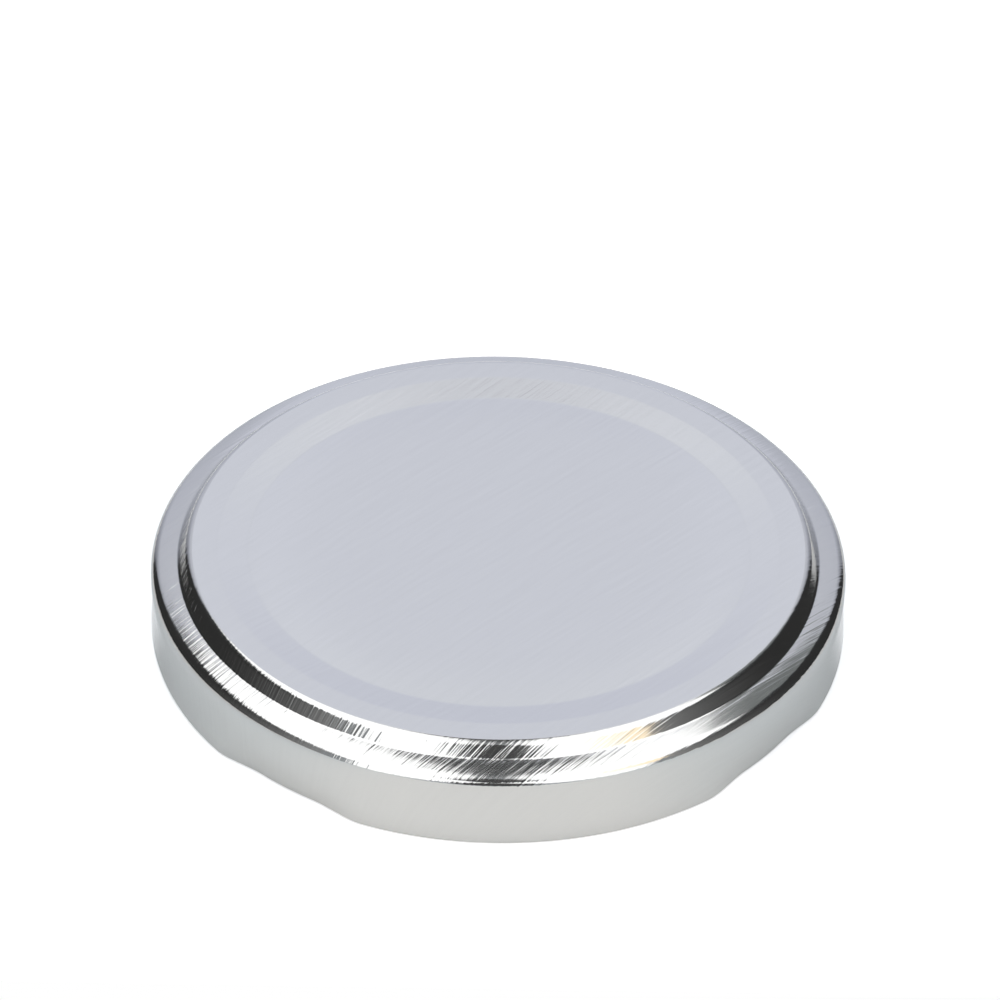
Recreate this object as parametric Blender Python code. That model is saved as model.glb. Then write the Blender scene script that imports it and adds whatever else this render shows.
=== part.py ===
"""A four-lug twist-off jar lid: one pressed tinplate shell with a rolled rim, and its sealing ring.

Metres, +Z up. The lid stands mouth down on its rolled rim. The origin is on the lid's axis, at the
level that the rim rests on. An outline lies in the half plane of one angle about the axis, and its
points are complex numbers: the real part is the radius, the imaginary part is the height.
"""

import cmath
import math

import bmesh
import bpy
import numpy as np

MM = 0.001

# Sheet and overall size
SHEET = 0.17 * MM
RIM_RADIUS = 34.7 * MM
HEIGHT = 10.1 * MM

# Top, from the rim inwards: rounded corner, crowned shoulder, step, raised ring, shallow chamfer, panel
CORNER_BEND = 1.1 * MM
CROWN_WIDTH = 1.77 * MM
CROWN_SLOPE = math.radians(12)
SHOULDER_WIDTH = 2.7 * MM
SHOULDER_SLOPE = math.radians(7)
STEP_FOOT_BEND = 0.35 * MM
STEP_DEPTH = 1.4 * MM
STEP_SLOPE = math.radians(55)
RING_EDGE_BEND = 0.9 * MM
RING_WIDTH = 2.85 * MM
CHAMFER_WIDTH = 3.1 * MM
PANEL_RECESS = 0.37 * MM

# Skirt, drawn in a little at its waist, and the rim rolled inwards at its foot
WAIST_DEPTH = 0.12 * MM
CURL_RADIUS = 0.75 * MM
CURL_TURN = math.radians(300)

# Lugs: places where the roll is pressed flat and inwards, to grip the jar's threads
LUG_COUNT = 4
LUG_PHASE = math.radians(-37.5)
LUG_FLAT = 6.4 * MM
LUG_RAMP = 6.0 * MM
LUG_PRESS = 0.95 * MM
LUG_PRESS_HEIGHT = 4.6 * MM
LUG_LIFT = 0.22 * MM
LUG_BEND = 0.5 * MM
LUG_TAB = 1.2 * MM
LUG_THICKNESS = 0.8 * MM
LUG_FOLD_BACK = 0.9 * MM

# Sealing compound, run into the channel under the raised ring
BOND_GAP = 0.3 * MM
SEAL_WIDTH = 4.2 * MM
SEAL_THICKNESS = 0.8 * MM
SEAL_INNER_ROUND = 0.45 * MM
SEAL_OUTER_ROUND = 0.25 * MM

# Facets
WELD = 0.001 * MM
WALL_STEPS = 4
ROLL_STEPS = 15
STEPS_ACROSS_LUG = 10
STEPS_BETWEEN_LUGS = 10


def rounded(path):
    """The line through a path's corners, each a point, its bend's radius and the steps of its arc.

    A corner with no steps stays sharp.
    """
    points = [path[0][0]]
    for (before, _, _), (corner, bend, steps), (after, _, _) in zip(path, path[1:], path[2:]):
        heading = (corner - before) / abs(corner - before)
        turn = cmath.phase((after - corner) / heading)
        if steps == 0:
            points.append(corner)
            continue
        start = corner - heading * bend * math.tan(abs(turn) / 2)
        centre = start + heading * bend * 1j * math.copysign(1, turn)
        points += [centre + (start - centre) * cmath.exp(1j * turn * k / steps) for k in range(steps + 1)]
    return points + [path[-1][0]]


def sunk(corners, depth):
    """Corners of the line that runs at this depth under a line going outwards, each on its mitre."""
    moved = []
    for before, corner, after in zip(corners, corners[1:], corners[2:]):
        heading = (corner - before) / abs(corner - before)
        turn = cmath.phase((after - corner) / heading)
        moved.append(corner - 1j * heading * depth * (1 + 1j * math.tan(turn / 2)))
    return moved


def top_corners():
    """The top's corners on its outer face, from the axis to a point down the skirt."""
    crown_radius = RIM_RADIUS - CROWN_WIDTH
    foot_radius = RIM_RADIUS - SHOULDER_WIDTH
    ring_edge = foot_radius - STEP_DEPTH / math.tan(STEP_SLOPE)
    chamfer_edge = ring_edge - RING_WIDTH
    foot_height = HEIGHT - STEP_DEPTH
    crown_height = foot_height - (crown_radius - foot_radius) * math.tan(SHOULDER_SLOPE)
    corner_height = crown_height - CROWN_WIDTH * math.tan(CROWN_SLOPE)
    return [
        complex(0, HEIGHT - PANEL_RECESS),
        complex(chamfer_edge - CHAMFER_WIDTH, HEIGHT - PANEL_RECESS),
        complex(chamfer_edge, HEIGHT),
        complex(ring_edge, HEIGHT),
        complex(foot_radius, foot_height),
        complex(crown_radius, crown_height),
        complex(RIM_RADIUS, corner_height),
        complex(RIM_RADIUS, corner_height - CORNER_BEND),
    ]


def top_line():
    """The outer face from the axis to the start of the skirt, with its bends."""
    sharp = (0, 0)
    bends = [sharp, sharp, sharp, (RING_EDGE_BEND, 3), (STEP_FOOT_BEND, 2), sharp, (CORNER_BEND, 3), sharp]
    return rounded([(corner, *bend) for corner, bend in zip(top_corners(), bends)])[:-1]


def lug_share(angle):
    """How far the roll is pressed at an angle: 1 across a lug's flat, 0 past its ramps."""
    pitch = math.tau / LUG_COUNT
    away = abs((angle - LUG_PHASE + pitch / 2) % pitch - pitch / 2) * RIM_RADIUS
    ramp = min(max((LUG_FLAT / 2 + LUG_RAMP - away) / LUG_RAMP, 0), 1)
    return ramp * ramp * (3 - 2 * ramp)


def roll_line(share):
    """The outer face of the roll, from the skirt's foot to the cut edge, with the foot at zero.

    The sheet is bent, not stretched: its heading is followed in equal steps along its length. In
    the round roll the heading turns evenly. In a lug it runs inwards, folds over and runs back,
    and in a lug's ramp it lies between the two by the share that is pressed.
    """
    lean = math.atan(2 * LUG_PRESS / (LUG_PRESS_HEIGHT - LUG_BEND))
    inwards = math.pi / 2
    runs = [0, LUG_BEND * (inwards - lean), LUG_TAB, LUG_THICKNESS / 2 * math.pi, LUG_FOLD_BACK]
    lug_ends = np.cumsum(runs)
    lug_turns = [lean, inwards, inwards, inwards + math.pi, inwards + math.pi]
    along = (np.arange(ROLL_STEPS) + 0.5) / ROLL_STEPS
    pressed_turn = np.interp(along * lug_ends[-1], lug_ends, lug_turns)
    turn = (1 - share) * CURL_TURN * along + share * pressed_turn
    length = (1 - share) * CURL_RADIUS * CURL_TURN + share * lug_ends[-1]
    steps = -1j * np.exp(-1j * turn) * length / ROLL_STEPS
    return np.concatenate([[0], np.cumsum(steps)])


def skirt_line(angle, top):
    """The outer face at an angle, from under the skirt's top height down to the roll's cut edge."""
    share = lug_share(angle)
    roll = roll_line(share)
    foot = share * LUG_LIFT - roll.imag.min()
    height = np.linspace(top, foot, WALL_STEPS + 1)[1:]
    waist = WAIST_DEPTH * np.sin(math.pi * (height - foot) / (top - foot)) ** 2
    below = np.clip((LUG_PRESS_HEIGHT - height) / (LUG_PRESS_HEIGHT - foot), 0, 1)
    wall = RIM_RADIUS - waist - share * LUG_PRESS * below**2 + 1j * height
    return [*wall, *(wall[-1] + roll[1:])]


def rim_angles():
    """Angles about the axis, closer together across the lugs than between them."""
    pitch = math.tau / LUG_COUNT
    half_lug = (LUG_FLAT / 2 + LUG_RAMP) / RIM_RADIUS
    across = np.linspace(-half_lug, half_lug, STEPS_ACROSS_LUG, endpoint=False)
    between = np.linspace(half_lug, pitch - half_lug, STEPS_BETWEEN_LUGS, endpoint=False)
    return [LUG_PHASE + k * pitch + a for k in range(LUG_COUNT) for a in (*across, *between)]


def turned(name, outlines, angles, closed):
    """A mesh through one outline for each angle. A closed outline joins its last point to its first.

    An open outline starts on the axis, where the points of all of them are welded into one.
    """
    mesh = bpy.data.meshes.new(name)
    count = len(outlines[0])
    points = [
        (p.real * math.cos(angle), p.real * math.sin(angle), p.imag)
        for outline, angle in zip(outlines, angles)
        for p in outline
    ]
    faces = []
    for here in range(0, len(points), count):
        there = (here + count) % len(points)
        for i in range(count if closed else count - 1):
            k = (i + 1) % count
            faces.append((here + i, here + k, there + k, there + i))
    mesh.from_pydata(points, [], faces)
    if not closed:
        sheet = bmesh.new()
        sheet.from_mesh(mesh)
        bmesh.ops.remove_doubles(sheet, verts=sheet.verts, dist=WELD)
        sheet.to_mesh(mesh)
        sheet.free()
    obj = bpy.data.objects.new(name, mesh)
    bpy.context.scene.collection.objects.link(obj)
    return obj


def material(name, colour, metallic, roughness):
    made = bpy.data.materials.new(name)
    made.use_nodes = True
    shader = made.node_tree.nodes["Principled BSDF"]
    shader.inputs["Base Color"].default_value = (*colour, 1)
    shader.inputs["Metallic"].default_value = metallic
    shader.inputs["Roughness"].default_value = roughness
    made.diffuse_color = (*colour, 1)
    return made


def finish(obj, made):
    obj.data.materials.append(made)
    obj.data.shade_smooth()
    obj.data.set_sharp_from_angle(angle=math.radians(35))


def lid_shell():
    """The pressed sheet: top, step, skirt, rolled rim and lugs in one piece of even thickness."""
    angles = rim_angles()
    top = top_line()
    outlines = [[*top, *skirt_line(angle, top[-1].imag)] for angle in angles]
    shell = turned("lid_shell", outlines, angles, closed=False)
    sheet = shell.modifiers.new("sheet", "SOLIDIFY")
    sheet.thickness = SHEET
    sheet.offset = -1
    sheet.use_even_offset = True
    finish(shell, material("tinplate", (0.62, 0.63, 0.65), 1.0, 0.22))
    return shell


def sealing_ring():
    """The ring of soft compound. It follows the channel's roof and outer wall, flat below."""
    panel, chamfer, ring, foot, _, _ = sunk(top_corners(), SHEET + BOND_GAP)
    outer_foot = ring + (foot - ring) * SEAL_THICKNESS / (ring.imag - foot.imag)
    inner_foot = outer_foot - SEAL_WIDTH
    inner_top = panel + (chamfer - panel) * (inner_foot.real - panel.real) / (chamfer.real - panel.real)
    roof_bend = RING_EDGE_BEND - SHEET - BOND_GAP
    outline = rounded([
        (inner_top, 0, 0),
        (chamfer, 0, 0),
        (ring, roof_bend, 2),
        (outer_foot, SEAL_OUTER_ROUND, 2),
        (inner_foot, SEAL_INNER_ROUND, 2),
        (inner_top, 0, 0),
    ])
    angles = rim_angles()
    seal = turned("sealing_ring", [outline[:-1]] * len(angles), angles, closed=True)
    finish(seal, material("sealing_compound", (0.80, 0.78, 0.71), 0.0, 0.45))
    return seal


for old in list(bpy.data.objects):
    bpy.data.objects.remove(old, do_unlink=True)

lid_shell()
sealing_ring()
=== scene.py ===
"""The looks of a four-lug twist-off jar lid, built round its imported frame: sheet, compound and studio."""

import math

import bmesh
import bpy
import numpy as np
from mathutils import Matrix, Vector


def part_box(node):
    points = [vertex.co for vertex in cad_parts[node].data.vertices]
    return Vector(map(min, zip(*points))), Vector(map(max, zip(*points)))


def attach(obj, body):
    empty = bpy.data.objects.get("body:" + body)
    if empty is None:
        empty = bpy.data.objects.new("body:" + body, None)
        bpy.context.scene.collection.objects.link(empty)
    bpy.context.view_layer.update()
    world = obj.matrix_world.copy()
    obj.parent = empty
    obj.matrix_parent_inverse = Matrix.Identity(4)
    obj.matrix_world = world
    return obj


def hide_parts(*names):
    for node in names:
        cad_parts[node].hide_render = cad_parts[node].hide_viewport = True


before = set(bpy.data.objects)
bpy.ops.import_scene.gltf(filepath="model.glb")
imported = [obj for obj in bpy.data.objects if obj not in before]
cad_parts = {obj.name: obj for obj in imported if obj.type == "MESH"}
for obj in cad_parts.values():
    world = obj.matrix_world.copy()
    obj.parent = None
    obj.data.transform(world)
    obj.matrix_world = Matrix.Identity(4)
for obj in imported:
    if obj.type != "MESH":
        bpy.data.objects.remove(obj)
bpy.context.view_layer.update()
MM = 0.001


# The pressed lid
# One disc of bright rolled tinplate, 0.17 mm thick under clear lacquer, drawn in one stroke to a
# recessed panel, raised ring, stepped shoulder and skirt. Its rim is rolled inwards, and the roll is
# pressed flat and inwards in four places, the lugs, which run under the threads of a jar.

SHEET = 0.17
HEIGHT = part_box("lid_shell")[1].z / MM
RIM_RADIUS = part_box("lid_shell")[1].x / MM

CORNER_BEND = 1.1
CROWN_WIDTH = 1.77
CROWN_SLOPE = math.radians(12)
CROWN_BEND = 14
SHOULDER_WIDTH = 2.7
SHOULDER_SLOPE = math.radians(7)
STEP_FOOT_BEND = 0.35
STEP_DEPTH = 1.4
STEP_SLOPE = math.radians(55)
RING_EDGE_BEND = 0.9
RING_WIDTH = 2.85
CHAMFER_WIDTH = 3.1
CHAMFER_BEND = 1.6
PANEL_RECESS = 0.37
PANEL_CROWN = 0.21

WAIST_DEPTH = 0.12
CURL_RADIUS = 0.75
CURL_TURN = math.radians(300)

LUG_COUNT = 4
LUG_PHASE = math.radians(-37.5)
LUG_FLAT = 6.4
LUG_RAMP = 6.0
LUG_PRESS = 0.95
LUG_PRESS_HEIGHT = 4.6
LUG_LIFT = 0.22
LUG_BEND = 0.5
LUG_TAB = 1.2
LUG_THICKNESS = 0.8
LUG_FOLD_BACK = 0.9

ANGLES = 336
PANEL_STEPS = 14
BEND_STEPS = 10
BEND_LEAD = 0.06
WALL_STEPS = 14
ROLL_STEPS = 32
EDGE_STEPS = 4
WELD = 1e-7

# The rolling lines: each kind's width and length in mm, and how much finer noise it carries
BROAD_LINES = (0.42, 8, 1.0)
FINE_LINES = (0.14, 3, 0.0)
SCORE_LINES = (0.3, 9, 0.0)
TONE_LINES = (0.5, 8, 2.0)
BROAD_SHARE = 0.85
FINE_SHARE = 0.2
SCORE_SHARE = 1.4
SCORED_ABOVE = 0.58
GRAIN_DIRECTION = math.radians(46)
GRAIN_DEPTH = 0.03
GRAIN_IN_PANEL = 0.25
GRAIN_IN_SHOULDER = 0.5
# Where the step starts and ends, in mm from the centre of the flat sheet
STEP_STARTS = (30.6, 31.6)
STEP_ENDS = (32.3, 32.9)
TIN_DARK = (0.64, 0.642, 0.638, 1)
TIN_PALE = (0.67, 0.672, 0.667, 1)
TIN_ROUGHNESS = 0.1
FINE_ROUGHNESS = 0.04
LACQUER = 0.4


def rounded(corners, bends, steps, lead):
    """A line through corners, as complex numbers: radius, and height times j.

    Each bend is an arc that touches the straight runs on both sides of its corner. The tangent
    point lies back from the corner by the bend's radius times the tangent of half its turn, and a
    lead point on each run keeps the flats flat when they are shaded smooth.
    """
    heading = np.diff(corners) / abs(np.diff(corners))
    turn = np.angle(heading[1:] / heading[:-1])
    start = corners[1:-1] - heading[:-1] * bends * np.tan(abs(turn) / 2)
    centre = start + heading[:-1] * bends * 1j * np.sign(turn)
    swept = np.exp(1j * turn[:, None] * np.linspace(0, 1, steps + 1))
    arcs = centre[:, None] + (start - centre)[:, None] * swept
    before = start - lead * heading[:-1]
    after = arcs[:, -1] + lead * heading[1:]
    bent = np.column_stack([before, arcs, after])
    return np.concatenate([corners[:1], bent.ravel(), corners[-1:]])


def top_corners():
    """Corners of the outer face: axis, panel, chamfer, ring, step's foot, crown, rim and below it."""
    crown_radius = RIM_RADIUS - CROWN_WIDTH
    foot_radius = RIM_RADIUS - SHOULDER_WIDTH
    ring_edge = foot_radius - STEP_DEPTH / math.tan(STEP_SLOPE)
    chamfer_edge = ring_edge - RING_WIDTH
    foot_height = HEIGHT - STEP_DEPTH
    crown_height = foot_height - (crown_radius - foot_radius) * math.tan(SHOULDER_SLOPE)
    corner_height = crown_height - CROWN_WIDTH * math.tan(CROWN_SLOPE)
    return np.array([
        complex(0, HEIGHT - PANEL_RECESS),
        complex(chamfer_edge - CHAMFER_WIDTH, HEIGHT - PANEL_RECESS),
        complex(chamfer_edge, HEIGHT),
        complex(ring_edge, HEIGHT),
        complex(foot_radius, foot_height),
        complex(crown_radius, crown_height),
        complex(RIM_RADIUS, corner_height),
        complex(RIM_RADIUS, corner_height - 2 * CORNER_BEND),
    ])


def lug_share(angle):
    """How far the roll is pressed: 1 across a lug's flat, down a smooth S to 0 past its ramps."""
    pitch = math.tau / LUG_COUNT
    away = abs((angle - LUG_PHASE + pitch / 2) % pitch - pitch / 2) * RIM_RADIUS
    ramp = np.clip((LUG_FLAT / 2 + LUG_RAMP - away) / LUG_RAMP, 0, 1)
    return ramp * ramp * (3 - 2 * ramp)


def roll_lines(share):
    """The rolled rim at every angle, from the skirt's foot to the cut edge, with the foot at zero.

    The sheet's heading is added up in equal steps along its length. In the round roll it turns
    evenly; in a lug it runs inwards, folds over and runs back; a ramp mixes the two by its share.
    """
    lean = math.atan(2 * LUG_PRESS / (LUG_PRESS_HEIGHT - LUG_BEND))
    inwards = math.pi / 2
    runs = [0, LUG_BEND * (inwards - lean), LUG_TAB, LUG_THICKNESS / 2 * math.pi, LUG_FOLD_BACK]
    lug_ends = np.cumsum(runs)
    lug_turns = [lean, inwards, inwards, inwards + math.pi, inwards + math.pi]
    along = (np.arange(ROLL_STEPS) + 0.5) / ROLL_STEPS
    pressed = np.interp(along * lug_ends[-1], lug_ends, lug_turns)
    turn = (1 - share) * CURL_TURN * along + share * pressed
    length = (1 - share) * CURL_RADIUS * CURL_TURN + share * lug_ends[-1]
    return np.cumsum(-1j * np.exp(-1j * turn) * length / ROLL_STEPS, axis=1)


def outer_lines(angle):
    """The sheet's outer face at every angle, one row of points each, from the axis to the cut edge.

    The top is the same all round. Its panel is crowned by one less the sixth power of the radius'
    share. The skirt falls from the top, drawn in at its waist by a squared sine and towards a lug
    by the square of the depth below the press height, and ends in the roll.
    """
    corners = top_corners()
    share = np.arange(PANEL_STEPS) / PANEL_STEPS
    panel = corners[1].real * share + 1j * (corners[1].imag + PANEL_CROWN * (1 - share**6))
    bends = [CHAMFER_BEND, CHAMFER_BEND, RING_EDGE_BEND, STEP_FOOT_BEND, CROWN_BEND, CORNER_BEND]
    bent = rounded(np.concatenate([panel[-1:], corners[1:]]), bends, BEND_STEPS, BEND_LEAD)[:-2]
    top = np.concatenate([panel[:-1], bent])
    share = lug_share(angle)[:, None]
    roll = roll_lines(share)
    foot = share * LUG_LIFT - roll.imag.min(axis=1, keepdims=True)
    along = np.arange(1, WALL_STEPS + 1) / WALL_STEPS
    height = top[-1].imag + (foot - top[-1].imag) * along
    waist = WAIST_DEPTH * np.sin(math.pi * along) ** 2
    below = np.clip((LUG_PRESS_HEIGHT - height) / (LUG_PRESS_HEIGHT - foot), 0, 1)
    wall = RIM_RADIUS - waist - share * LUG_PRESS * below**2 + 1j * height
    return np.hstack([np.tile(top, (len(angle), 1)), wall, wall[:, -1:] + roll])


def sheet_section(outer):
    """The closed section of the sheet: along its outer face, round the cut edge, back inside.

    The inner face lies one sheet's thickness to the right of the outer face's heading.
    """
    heading = np.gradient(outer, axis=1)
    heading[:, 0] = 1
    heading /= abs(heading)
    inner = outer - 1j * heading * SHEET
    round_edge = np.exp(-1j * math.pi * np.arange(1, EDGE_STEPS) / EDGE_STEPS)
    middle = (outer[:, -1:] + inner[:, -1:]) / 2
    edge = middle + (outer[:, -1:] - middle) * round_edge
    return np.hstack([outer, edge, inner[:, ::-1]])


def blank_lengths(outer):
    """Distance of every point from the lid's centre on the flat disc that it was drawn from."""
    runs = np.cumsum(abs(np.diff(outer, axis=1)), axis=1)
    face = np.hstack([np.zeros((len(outer), 1)), runs])
    edge = np.tile(face[:, -1:], EDGE_STEPS - 1)
    return np.hstack([face, edge, face[:, ::-1]])


def turned(name, angle, section, pattern, closed):
    """A surface of revolution: at each angle its section of points, as radius and height times j.

    The grid wraps round in angle, and in the section too where it is closed. pattern gives each
    point's place on the flat sheet as a complex number. It becomes the UV map, in millimetres.
    """
    turns, rows = section.shape
    radius = section.real
    points = np.dstack([radius * np.cos(angle)[:, None], radius * np.sin(angle)[:, None], section.imag])
    here = np.arange(turns * rows).reshape(turns, rows)
    there = np.roll(here, -1, axis=0)
    last = rows if closed else rows - 1
    after = np.roll(here, -1, axis=1)
    far = np.roll(there, -1, axis=1)
    faces = np.stack([here, after, far, there], axis=-1)[:, :last].reshape(-1, 4)
    mesh = bpy.data.meshes.new(name)
    mesh.from_pydata(points.reshape(-1, 3) * MM, [], faces)
    corner = faces.ravel()
    flat = np.column_stack([pattern.ravel().real[corner], pattern.ravel().imag[corner]])
    mesh.uv_layers.new(name="sheet").uv.foreach_set("vector", flat.astype(np.float32).ravel())
    welded = bmesh.new()
    welded.from_mesh(mesh)
    bmesh.ops.remove_doubles(welded, verts=welded.verts, dist=WELD)
    welded.to_mesh(mesh)
    welded.free()
    mesh.shade_smooth()
    piece = bpy.data.objects.new(name, mesh)
    bpy.context.scene.collection.objects.link(piece)
    return piece


def set_stops(ramp, stops):
    """Gives a new colour ramp its stops, each a place and a colour."""
    ramp.remove(ramp[1])
    ramp[0].position, ramp[0].color = stops[0]
    for place, colour in stops[1:]:
        ramp.new(place).color = colour


class Wire:
    """An output socket of a material's nodes. Sums with wires and numbers add their Math nodes."""

    def __init__(self, tree, socket=None):
        self.tree = tree
        self.socket = socket

    def node(self, kind, settings, inputs, output=0):
        """Adds a node of that kind, sets it up, feeds its inputs and returns one of its outputs."""
        made = self.tree.nodes.new("ShaderNode" + kind)
        for name, value in settings.items():
            if name == "stops":
                set_stops(made.color_ramp.elements, value)
            else:
                setattr(made, name, value)
        for name, value in inputs.items():
            if isinstance(value, Wire):
                self.tree.links.new(value.socket, made.inputs[name])
            else:
                made.inputs[name].default_value = value
        return Wire(self.tree, made.outputs[output] if made.outputs else None)

    def maths(self, operation, *values):
        """Adds a Math node that works on those values."""
        return self.node("Math", {"operation": operation}, dict(enumerate(values)))

    def axis(self, name):
        """One of the three numbers of a place, X, Y or Z."""
        return self.node("SeparateXYZ", {}, {"Vector": self}, name)

    def change(self, start_at, end_at, first=0, last=1):
        """Goes along a smooth S from the first value to the last, between two values of this wire."""
        return self.node("MapRange", {"interpolation_type": "SMOOTHSTEP"}, {
            "Value": self, "From Min": start_at, "From Max": end_at, "To Min": first, "To Max": last})

    def blend(self, first, second):
        """Mixes two colours: the first where this wire is 0, and the second where it is 1."""
        return self.node("Mix", {"data_type": "RGBA"}, {0: self, 6: first, 7: second}, 2)

    def surface(self):
        """Makes this shader the surface of the material."""
        self.node("OutputMaterial", {}, {"Surface": self})

    def __add__(self, other):
        return self.maths("ADD", self, other)

    def __sub__(self, other):
        return self.maths("SUBTRACT", self, other)

    def __rsub__(self, other):
        return self.maths("SUBTRACT", other, self)

    def __mul__(self, other):
        return self.maths("MULTIPLY", self, other)

    def __truediv__(self, other):
        return self.maths("DIVIDE", self, other)

    def __pow__(self, other):
        return self.maths("POWER", self, other)

    __radd__ = __add__
    __rmul__ = __mul__


def new_material(name):
    """An empty material, and a wire to start its nodes from."""
    made = bpy.data.materials.new(name)
    made.use_nodes = True
    made.node_tree.nodes.clear()
    return made, Wire(made.node_tree)


def tinplate():
    """Bright metal with fine rolling lines, all one way on the flat sheet and bent with it.

    The lines stand out more where the sheet was stretched, and deeper scores join them there: most
    in the step, and half as much from the shoulder on.
    """
    made, start = new_material("bright tinplate")
    sheet = start.node("UVMap", {"uv_map": "sheet"}, {})
    turn = (0, 0, -GRAIN_DIRECTION)
    along = sheet.node("Mapping", {"vector_type": "POINT"}, {"Vector": sheet, "Rotation": turn})
    reach = sheet.node("VectorMath", {"operation": "LENGTH"}, {0: sheet}, "Value")

    def lines(width, length, detail):
        """Noise drawn out along the rolling direction: lines of about that width and length in mm."""
        drawn = along.node("VectorMath", {"operation": "MULTIPLY"}, {0: along, 1: (1 / length, 1 / width, 1)})
        return drawn.node("TexNoise", {"noise_dimensions": "2D"}, {
            "Vector": drawn, "Scale": 1.0, "Detail": detail, "Roughness": 0.6})

    broad = lines(*BROAD_LINES)
    fine = lines(*FINE_LINES)
    scores = lines(*SCORE_LINES)
    scores = scores.maths("MAXIMUM", scores - SCORED_ABOVE, 0)
    rolled = (broad * BROAD_SHARE + fine * FINE_SHARE) * reach.change(*STEP_STARTS, GRAIN_IN_PANEL, 1)
    scored = scores * reach.change(*STEP_STARTS, 0, SCORE_SHARE)
    height = (rolled + scored) * reach.change(*STEP_ENDS, 1, GRAIN_IN_SHOULDER)
    normal = height.node("Bump", {}, {"Strength": 1.0, "Distance": GRAIN_DEPTH * MM, "Height": height})
    shader = height.node("BsdfPrincipled", {}, {
        "Base Color": lines(*TONE_LINES).blend(TIN_DARK, TIN_PALE),
        "Metallic": 1.0,
        "Roughness": TIN_ROUGHNESS + fine * FINE_ROUGHNESS,
        "Coat Weight": LACQUER,
        "Normal": normal,
    })
    shader.surface()
    return made


angle = np.arange(ANGLES) * math.tau / ANGLES
outer = outer_lines(angle)
on_sheet = blank_lengths(outer) * np.exp(1j * angle)[:, None]
lid = turned("pressed_lid", angle, sheet_section(outer), on_sheet, closed=False)
lid.data.materials.append(tinplate())
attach(lid, "root")
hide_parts("lid_shell")


# The sealing ring
# A ring of soft plastisol compound, run as a liquid into the channel under the raised ring while the
# lid spins and baked there. The jar's mouth presses into its flat face.

BOND_GAP = 0.02
SEAL_WIDTH = 4.2
SEAL_THICKNESS = 0.8
SEAL_ROUND = 0.3
SEAL_STEPS = 8
SEAL_SEAM = 0.8
PACKED_GAP = 0.3
MOTTLE_SCALE = 900.0
MOTTLE_DEPTH = 0.05
MOTTLE_STRENGTH = 0.4
COMPOUND_DARK = (0.76, 0.735, 0.66, 1)
COMPOUND_PALE = (0.84, 0.82, 0.755, 1)
COMPOUND_ROUGHNESS = 0.38
MOTTLE_ROUGHNESS = 0.14


def sunk(corners, depth):
    """Corners of the line at this depth under a line going outwards, each on its corner's mitre."""
    heading = np.diff(corners) / abs(np.diff(corners))
    turn = np.angle(heading[1:] / heading[:-1])
    return corners[1:-1] - 1j * heading[:-1] * depth * (1 + 1j * np.tan(turn / 2))


def seal_section():
    """The compound's section: along the channel's roof, down its outer wall and back across its face.

    The closed line starts a little way out along the roof, so that its inner corner is rounded too.
    """
    panel, chamfer, ring, foot, _, _ = sunk(top_corners(), SHEET + BOND_GAP)
    drop = SEAL_THICKNESS + PACKED_GAP - BOND_GAP
    outer_foot = ring + (foot - ring) * drop / (ring.imag - foot.imag)
    inner_foot = outer_foot - SEAL_WIDTH
    inner_top = panel + (chamfer - panel) * (inner_foot.real - panel.real) / (chamfer.real - panel.real)
    seam = inner_top + SEAL_SEAM
    corners = np.array([seam, ring, outer_foot, inner_foot, inner_top, seam])
    bends = [RING_EDGE_BEND - SHEET - BOND_GAP, SEAL_ROUND, SEAL_ROUND, SEAL_ROUND]
    return rounded(corners, bends, SEAL_STEPS, BEND_LEAD)[:-1]


def compound():
    """Pale cream compound with a soft satin skin and a faint mottle from its flow."""
    made, start = new_material("sealing compound")
    place = start.node("TexCoord", {}, {}, "Object")
    mottle = place.node("TexNoise", {}, {"Vector": place, "Scale": MOTTLE_SCALE, "Detail": 3.0})
    normal = mottle.node("Bump", {}, {
        "Strength": MOTTLE_STRENGTH, "Distance": MOTTLE_DEPTH * MM, "Height": mottle})
    shader = mottle.node("BsdfPrincipled", {}, {
        "Base Color": mottle.blend(COMPOUND_DARK, COMPOUND_PALE),
        "Roughness": COMPOUND_ROUGHNESS + mottle * MOTTLE_ROUGHNESS,
        "Normal": normal,
    })
    shader.surface()
    return made


section = np.tile(seal_section(), (ANGLES, 1))
seal = turned("compound_ring", angle, section, section * np.exp(1j * angle)[:, None], closed=True)
seal.data.materials.append(compound())
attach(seal, "root")
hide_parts("sealing_ring")


# The board and the flags
# The lid stands on a small white board, which its bright skirt mirrors. Beside the lid the board
# carries painted shade, bluish, which the skirt shows as its darker sides. A low flag of black cloth
# stands along each side of the board, for the dark bands round the step and the corner.

BOARD_REACH = 0.07
BOARD_FRONT = 0.056
BOARD_BACK = 0.14
BOARD_COLOUR = (0.93, 0.93, 0.915, 1)
# Painted shade on the board beside the lid: its bluish grey, and across how far it comes in and goes out
# again
BOARD_SIDE_SHADE = (0.77, 0.81, 0.825, 1)
SHADE_COMES_IN = (0.012, 0.036)
SHADE_GOES_OUT = (0.041, 0.05)
BOARD_LIFT = 0.62
BOARD_GLOW = 0.04
LIFT_COLOUR = (0.98, 0.98, 1, 1)
FOOT_GLOW = 0.36
FOOT_NEAR = (0.0366, 0.0352)
FOOT_BEHIND = (-0.008, 0)
FLAG_FRONT = (-0.069, 0.047)
FLAG_BACK = (0.045, 0.074)
FLAG_DARK = 0.037
FLAG_SPILL = 0.3


def studio_piece(name, points, material, seen):
    """A flat piece of the studio through those points, lit and reflected, and seen only if asked."""
    mesh = bpy.data.meshes.new(name)
    mesh.from_pydata(points, [], [tuple(range(len(points)))])
    piece = bpy.data.objects.new(name, mesh)
    bpy.context.scene.collection.objects.link(piece)
    piece.data.materials.append(material)
    piece.visible_camera = seen


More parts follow.
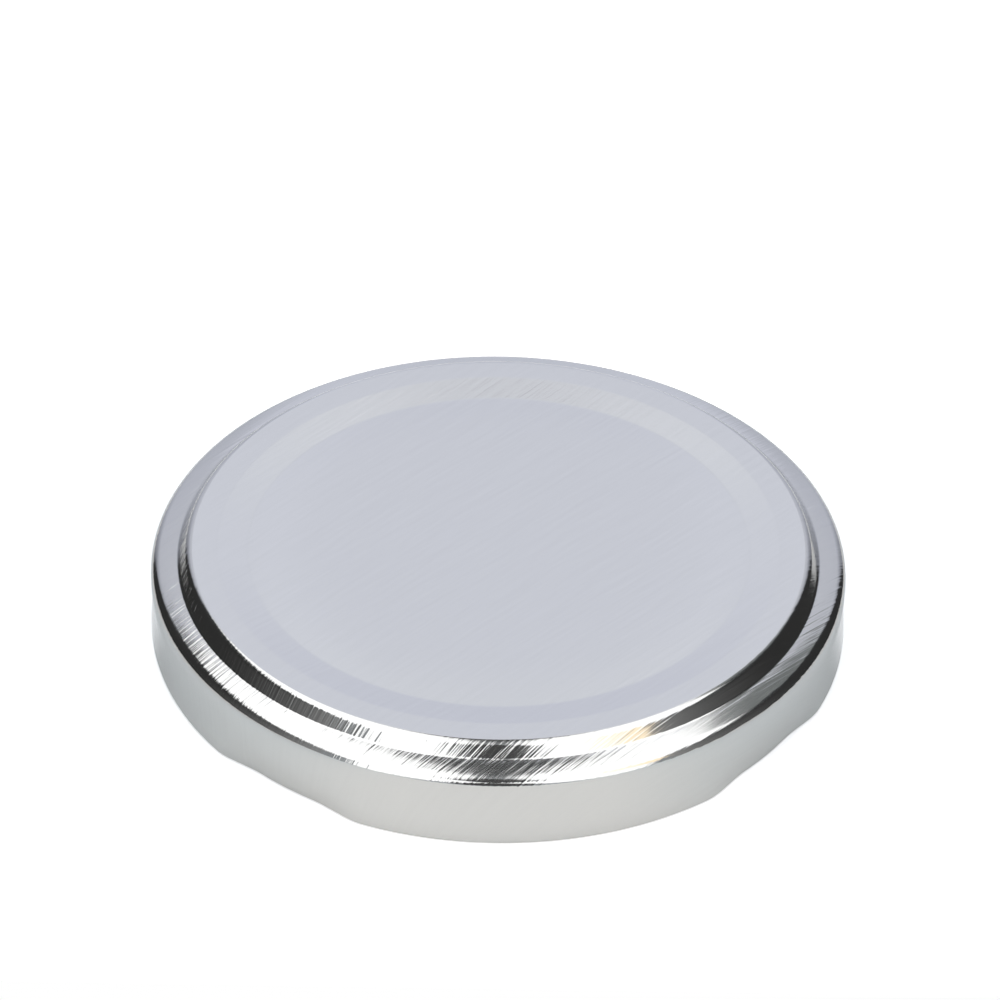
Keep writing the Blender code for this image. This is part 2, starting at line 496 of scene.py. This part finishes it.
def background(start, direct, reflected):
    """What the background adds to camera rays, and to the rays that metal and glass send on."""
    camera = start.node("LightPath", {}, {}, "Is Camera Ray")
    glossy = start.node("LightPath", {}, {}, "Is Glossy Ray")
    through = start.node("LightPath", {}, {}, "Is Transmission Ray")
    sent_on = glossy.maths("MAXIMUM", glossy, through)
    return camera * direct + sent_on * reflected


def white_board():
    """White board, with painted shade beside the lid. As the background it is lifted, and it keeps the lid's
    shadow.

    Reflections see it lifted more along the lid's foot, beside and behind it, where the bright skirt
    throws the light of the backdrop down.
    """
    made, start = new_material("white board")
    place = start.node("TexCoord", {}, {}, "Object")
    across = place.maths("ABSOLUTE", place.axis("X"))
    radius = place.node("VectorMath", {"operation": "LENGTH"}, {0: place}, "Value")
    # Painted shade beside the lid, coming in across the board and fading out again further out
    shade_beside_lid = across.change(*SHADE_COMES_IN) - across.change(*SHADE_GOES_OUT)
    foot = radius.change(*FOOT_NEAR) * place.axis("Y").change(*FOOT_BEHIND)
    paint = start.node("BsdfDiffuse", {}, {"Color": shade_beside_lid.blend(BOARD_COLOUR, BOARD_SIDE_SHADE)})
    lift = start.node("Emission", {}, {
        "Color": LIFT_COLOUR, "Strength": background(start, BOARD_LIFT, BOARD_GLOW + foot * FOOT_GLOW)})
    both = start.node("AddShader", {}, {0: paint, 1: lift})
    both.surface()
    return made


def black_cloth():
    """The flags' black cloth, which catches more light towards the front, by the square of the way."""
    made, start = new_material("black cloth")
    depth = start.node("TexCoord", {}, {}, "Object").axis("Y")
    front = depth.maths("MAXIMUM", 0 - depth, 0) / -FLAG_FRONT[0]
    light = front.node("Emission", {}, {"Strength": FLAG_DARK + FLAG_SPILL * front ** 2})
    light.surface()
    return made


board = [(-BOARD_REACH, -BOARD_FRONT, 0), (BOARD_REACH, -BOARD_FRONT, 0),
         (BOARD_REACH, BOARD_BACK, 0), (-BOARD_REACH, BOARD_BACK, 0)]
studio_piece("board", board, white_board(), seen=True)

black = black_cloth()
flag_outline = [(FLAG_FRONT[0], 0), FLAG_FRONT, FLAG_BACK, (FLAG_BACK[0], 0)]
for x in (-BOARD_REACH, BOARD_REACH):
    studio_piece("flag", [(x, y, z) for y, z in flag_outline], black, seen=False)


# The softboxes and the cards
# Two large softboxes lean over the lid from both sides and leave a slot for the camera. A straw and a
# cream reflector hang before the right one, a grey card behind it and a dark card behind the camera.
# Their corners are directions from the lid in degrees: azimuth from the camera's side, and elevation.

SOFTBOX_DISTANCE = 0.6
SOFTBOX_FACING = (64.5, 47)
SOFTBOX_LIGHT = 1.66
INNER_EDGE = [(1, -14), (1, 12), (5, 20), (13, 27), (13.5, 33), (10, 45), (9, 55), (9, 66), (50, 85.5)]
FAR_EDGE = [(154, 82), (166.6, 75), (171.5, 69), (172.9, 63.5), (171.5, 57.5), (174.3, 52.4), (174.8, 46)]
RIGHT_LOW = [(169.5, 48), (163.7, 51.5), (158, 54.9), (150, 57), (138, 58)]
RIGHT_SIDE = [(118, 54), (102, 51.5), (90, 49), (78, 46), (66, 42)]
RIGHT_FOOT = [(56, 31), (55, 22), (47, 12), (45, -14)]
LEFT_LOW = [(165, 44), (157, 45.3), (150, 47.5), (138, 51)]
LEFT_SIDE = [(118, 51.5), (102, 49), (90, 47), (78, 45), (66, 42)]
LEFT_FOOT = [(54, 33), (44, 27), (43, 12), (43, -14)]
REFLECTOR_DISTANCE = SOFTBOX_DISTANCE - 0.01
REFLECTOR_LIGHT = 1.6
STRAW = (1, 0.83, 0.6, 1)
STRAW_CARD = [(43, 14), (48, 13), (55.5, 23), (56, 32), (45, 33)]
CREAM = (1, 0.93, 0.8, 1)
CREAM_CARD = [(32, 16), (43, 14), (45, 33), (36, 35)]
GREY = (0.94, 1, 1, 1)
GREY_LIGHT = 0.22
GREY_CARD = [(172, 40), (150, 40), (138, 46), (138, 62), (150, 60), (172, 50)]
GREY_FACING = (156, 50)
GREY_DISTANCE = 1.4
DARK_LIGHT = 0.07
DARK_CARD = [(-12, -20), (12, -20), (12, 60), (-12, 60)]
DARK_FACING = (0, 20)
DARK_DISTANCE = 1.2
WHITE = (1, 1, 1, 1)


def towards(azimuth, elevation):
    """The direction at angles in degrees: azimuth from the camera's side round to +X, and elevation."""
    a, e = np.radians(azimuth), np.radians(elevation)
    return np.stack([np.sin(a) * np.cos(e), -np.cos(a) * np.cos(e), np.sin(e) + 0 * a], axis=-1)


def card(name, corners, facing, distance, material):
    """A flat card whose corners are seen from the lid in those directions, unseen by the camera.

    Each corner lies where its direction meets the plane at that distance, square to facing.
    """
    ways = towards(*np.array(corners).T)
    normal = towards(*facing)
    studio_piece(name, ways * (distance / (ways @ normal))[:, None], material, seen=False)


def glowing(name, colour, strength):
    """A plain material that shines evenly."""
    made, start = new_material(name)
    light = start.node("Emission", {}, {"Color": colour, "Strength": strength})
    light.surface()
    return made


cloth = glowing("softbox cloth", WHITE, SOFTBOX_LIGHT)
right = INNER_EDGE + FAR_EDGE + RIGHT_LOW + RIGHT_SIDE + RIGHT_FOOT
left = INNER_EDGE + FAR_EDGE + LEFT_LOW + LEFT_SIDE + LEFT_FOOT
for name, outline, side in (("right_softbox", right, 1), ("left_softbox", left, -1)):
    mirror = (side, 1)
    card(name, np.multiply(outline, mirror), np.multiply(SOFTBOX_FACING, mirror), SOFTBOX_DISTANCE, cloth)

straw = glowing("straw reflector", STRAW, REFLECTOR_LIGHT)
card("straw_reflector", STRAW_CARD, SOFTBOX_FACING, REFLECTOR_DISTANCE, straw)
cream = glowing("cream reflector", CREAM, REFLECTOR_LIGHT)
card("cream_reflector", CREAM_CARD, SOFTBOX_FACING, REFLECTOR_DISTANCE, cream)
card("grey_card", GREY_CARD, GREY_FACING, GREY_DISTANCE, glowing("grey cloth", GREY, GREY_LIGHT))
card("photographer", DARK_CARD, DARK_FACING, DARK_DISTANCE, glowing("dark cloth", WHITE, DARK_LIGHT))


# The backdrop
# A pale cloth hangs behind the lid and stands higher in its middle. The panel, the raised ring and the
# far side of the shoulder mirror it, which gives them their lilac tone.

BACKDROP_DISTANCE = 0.6
BACKDROP_TOP = 0.75
BACKDROP_OUTLINE = [
    (-0.74, -0.1), (0.74, -0.1), (0.74, 0.25), (0.574, 0.5), (0.3, 0.59), (0.2, 0.63), (0.14, 0.66),
    (0.128, 0.685), (0.1, 0.725), (0.06, 0.765), (0, 0.785), (-0.06, 0.765), (-0.1, 0.725),
    (-0.128, 0.68), (-0.145, 0.63), (-0.2, 0.61), (-0.3, 0.59), (-0.574, 0.5), (-0.74, 0.25)]
BACKDROP_COLOURS = [
    (0.2, (0.75, 0.78, 0.885, 1)),
    (0.44, (0.835, 0.86, 0.98, 1)),
    (0.58, (0.88, 0.905, 1.008, 1)),
    (0.67, (0.885, 0.91, 1.012, 1)),
    (0.8, (0.934, 0.96, 1.04, 1)),
    (1.0, (0.95, 0.965, 1.04, 1))]
# Painted shade on the backdrop: less light in its middle, and less again towards its sides
SHADED_MIDDLE = (0.03, 0.075, 0.955, 1)
SHADED_SIDES = (0.08, 0.15, 1, 0.78)
DARK_SIDES = (0.22, 0.574, 1, 0.42)


def backdrop_cloth():
    """Pale cloth: lilac low down, whiter towards its top, with painted shade, a little in the middle and more
    at the sides.
    """
    made, start = new_material("backdrop cloth")
    place = start.node("TexCoord", {}, {}, "Object")
    height = place.axis("Z") / BACKDROP_TOP
    side = place.maths("ABSOLUTE", place.axis("X"))
    light = height.node("Emission", {}, {
        "Color": height.node("ValToRGB", {"stops": BACKDROP_COLOURS}, {"Fac": height}),
        "Strength": side.change(*SHADED_MIDDLE) * side.change(*SHADED_SIDES) * side.change(*DARK_SIDES),
    })
    light.surface()
    return made


backdrop = [(x, BACKDROP_DISTANCE, z) for x, z in BACKDROP_OUTLINE]
studio_piece("backdrop", backdrop, backdrop_cloth(), seen=False)


# The dark studio
# The room round about is dark, and catches some of the softboxes' light towards the front. The camera
# sees plain white in its place.

DOME_RADIUS = 1500
DOME_TURNS = 48
DOME_ROWS = 24
DOME_COLOUR = (0.94, 1, 1.04, 1)
DOME_DARK = 0.035
DOME_SPILL = 0.55


def dark_wall():
    """Dark walls, lighter by the cube of the way from the back of the room to its front."""
    made, start = new_material("dark studio")
    depth = start.node("TexCoord", {}, {}, "Object").axis("Y")
    front = 0.5 - depth * (0.5 / (DOME_RADIUS * MM))
    light = front.node("Emission", {}, {
        "Color": DOME_COLOUR, "Strength": DOME_DARK + DOME_SPILL * front ** 3})
    light.surface()
    return made


turn = np.arange(DOME_TURNS) * math.tau / DOME_TURNS
rise = -1j * np.exp(1j * np.linspace(0, math.pi, DOME_ROWS)) * DOME_RADIUS
dome_section = np.tile(rise, (DOME_TURNS, 1))
dome = turned("dark_studio", turn, dome_section, dome_section, closed=False)
dome.data.materials.append(dark_wall())
dome.visible_camera = False

world = bpy.data.worlds.new("studio")
bpy.context.scene.world = world
world.use_nodes = True
world.node_tree.nodes.clear()
start = Wire(world.node_tree)
sky = start.node("Background", {}, {"Color": WHITE, "Strength": background(start, 1, 1)})
sky.node("OutputWorld", {}, {"Surface": sky})
bpy.context.scene.view_settings.view_transform = "Standard"


# The camera
# It stands 1 m from the lid and 38 degrees up, with a long lens. As in the photo, it is rolled a
# little and aimed a little above the lid's middle.

AIM = Vector((0, 0, 5.0 * MM))
CAMERA_DISTANCE = 1.0
CAMERA_ELEVATION = math.radians(38.06)
CAMERA_LENS = 359.8
SENSOR_WIDTH = 36.0
AIMED_ABOVE = math.radians(0.4972)
AIMED_RIGHT = math.radians(0.0042)
CAMERA_ROLL = math.radians(0.87)

lens = bpy.data.cameras.new("camera")
lens.lens = CAMERA_LENS
lens.sensor_width = SENSOR_WIDTH
lens.clip_start = 0.05
lens.clip_end = 20.0
camera = bpy.data.objects.new("camera", lens)
bpy.context.scene.collection.objects.link(camera)
back = Vector((0, -math.cos(CAMERA_ELEVATION), math.sin(CAMERA_ELEVATION)))
tilt = Matrix.Rotation(math.pi / 2 - CAMERA_ELEVATION + AIMED_ABOVE, 4, "X")
pan = Matrix.Rotation(-AIMED_RIGHT, 4, "Z")
roll = Matrix.Rotation(CAMERA_ROLL, 4, "Z")
camera.matrix_world = Matrix.Translation(AIM + back * CAMERA_DISTANCE) @ pan @ tilt @ roll
bpy.context.scene.camera = camera
